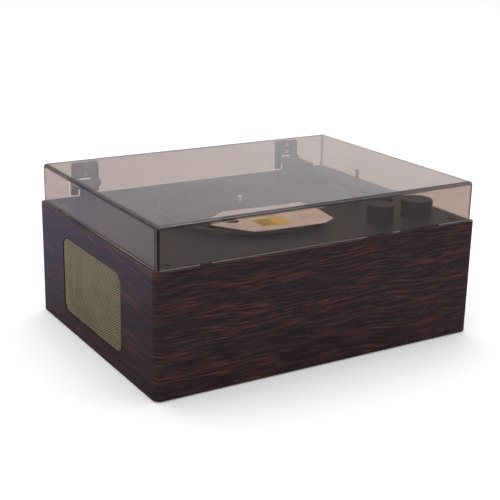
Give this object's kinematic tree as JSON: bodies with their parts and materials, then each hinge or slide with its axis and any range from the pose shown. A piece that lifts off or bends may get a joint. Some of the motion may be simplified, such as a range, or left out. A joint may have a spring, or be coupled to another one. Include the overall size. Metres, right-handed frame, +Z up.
{
  "type": "turntable record player",
  "caption": "Wooden-cased record player with side speakers, belt-driven platter, pivoted tonearm, front knobs and a hinged smoked clear dust cover.",
  "frame": {"origin": "middle of the footprint, on the plane of the feet", "axes": "+X to the right along the width, +Y to the back, +Z up"},
  "size_m": [0.42, 0.315, 0.187],
  "materials": {
    "veneered_board": "dark rosewood-look veneer on fibreboard, satin",
    "raw_board": "bare fibreboard",
    "deck_plastic": "fine satin grain",
    "knob_plastic": "satin",
    "black_plastic": "satin",
    "smoked_acrylic": "polished, tinted clear",
    "gold_sheet": "satin gold finish, perforated",
    "platter_metal": "dark satin",
    "rubber": "matt",
    "polished_steel": "polished",
    "steel": "zinc plated",
    "brass": "turned",
    "magnet": "ceramic magnet and steel plate",
    "paper_cone": "pressed paper",
    "circuit_board": "solder mask",
    "card_stock": "uncoated cream card",
    "yellow_label": "printed paper"
  },
  "bodies": {
    "chassis": {"front_panel": "veneered_board", "back_panel": "veneered_board", "left_panel": "veneered_board", "right_panel": "veneered_board", "bottom_panel": "raw_board", "corner_blocks": "raw_board", "rubber_feet": "rubber", "deck_plate": "deck_plastic", "deck_screws": "steel", "case_screws": "steel", "left_grille": "gold_sheet", "right_grille": "gold_sheet", "left_speaker_basket": "steel", "left_speaker_cone": "paper_cone", "left_speaker_magnet": "magnet", "right_speaker_basket": "steel", "right_speaker_cone": "paper_cone", "right_speaker_magnet": "magnet", "bearing_bush": "brass", "drive_belt": "rubber", "motor": "steel", "motor_bracket": "steel", "tonearm_base": "deck_plastic", "arm_rest": "deck_plastic", "control_pots": "steel", "slide_switches": "black_plastic", "hinge_bases": "deck_plastic", "jack_plate": "black_plastic", "rca_jacks": "black_plastic", "aux_jack": "black_plastic", "dc_jack": "black_plastic", "main_board": "circuit_board"},
    "lid": {"dust_cover": "smoked_acrylic", "hinge_leaves": "deck_plastic", "hinge_pins": "polished_steel", "leaf_screws": "steel", "lid_bumpers": "rubber"},
    "turntable": {"platter": "platter_metal", "platter_mat": "rubber", "spindle": "polished_steel", "transit_card": "card_stock", "card_label": "yellow_label"},
    "pulley": {"motor_pulley": "brass"},
    "arm_yoke": {"tonearm_housing": "deck_plastic", "arm_pivot_pin": "polished_steel"},
    "arm": {"tonearm_tube": "deck_plastic", "counterweight": "platter_metal", "headshell": "deck_plastic", "cartridge": "black_plastic", "stylus": "polished_steel"},
    "clip": {"arm_clip": "knob_plastic"},
    "cue_handle": {"cue_lever": "knob_plastic"},
    "cue_bar": {"cue_lift": "black_plastic"},
    "speed_switch": {"speed_slider": "knob_plastic"},
    "autostop_switch": {"autostop_slider": "knob_plastic"},
    "volume_control": {"volume_knob": "knob_plastic", "volume_shaft": "steel"},
    "mode_control": {"mode_knob": "knob_plastic", "mode_shaft": "steel"}
  },
  "joints": [
    {"name": "lid_hinge", "type": "hinge", "parent": "chassis", "child": "lid", "pos_m": [0, 0.1462, 0.156], "axis": [-1, 0, 0], "range_deg": [0, 65]},
    {"name": "platter_spin", "type": "hinge", "parent": "chassis", "child": "turntable", "pos_m": [-0.02, 0, 0.142], "axis": [0, 0, -1], "continuous": true},
    {"name": "pulley_spin", "type": "hinge", "parent": "chassis", "child": "pulley", "pos_m": [-0.09101, 0.041, 0.142], "axis": [0, 0, -1], "continuous": true},
    {"name": "arm_swing", "type": "hinge", "parent": "chassis", "child": "arm_yoke", "pos_m": [0.133, 0.096, 0.152], "axis": [0, 0, -1], "range_deg": [0, 42]},
    {"name": "arm_raise", "type": "hinge", "parent": "arm_yoke", "child": "arm", "pos_m": [0.133, 0.096, 0.1565], "axis": [-1, 0, 0], "range_deg": [0, 7]},
    {"name": "clip_turn", "type": "hinge", "parent": "chassis", "child": "clip", "pos_m": [0.1425, -0.012, 0.1625], "axis": [0, -1, 0], "range_deg": [0, 90]},
    {"name": "cue_lever_turn", "type": "hinge", "parent": "chassis", "child": "cue_handle", "pos_m": [0.155, 0.07, 0.148], "axis": [-1, 0, 0], "range_deg": [0, 40.1]},
    {"name": "cue_bar_rise", "type": "slide", "parent": "chassis", "child": "cue_bar", "axis": [0, 0, 1], "range_m": [0, 0.0032]},
    {"name": "speed_slide", "type": "slide", "parent": "chassis", "child": "speed_switch", "axis": [0, 1, 0], "range_m": [0, 0.008]},
    {"name": "autostop_slide", "type": "slide", "parent": "chassis", "child": "autostop_switch", "axis": [0, 1, 0], "range_m": [0, 0.005]},
    {"name": "volume_turn", "type": "hinge", "parent": "chassis", "child": "volume_control", "pos_m": [0.16, -0.107, 0.142], "axis": [0, 0, -1], "range_deg": [0, 300]},
    {"name": "mode_turn", "type": "hinge", "parent": "chassis", "child": "mode_control", "pos_m": [0.107, -0.106, 0.142], "axis": [0, 0, -1], "range_deg": [0, 90]}
  ],
  "couplings": [
    {"joint": "pulley_spin", "follows": "platter_spin", "ratio": 12.026},
    {"joint": "cue_lever_turn", "follows": "arm_raise", "ratio": 5.714},
    {"joint": "cue_bar_rise", "follows": "arm_raise", "m_per_rad": 0.026}
  ]
}
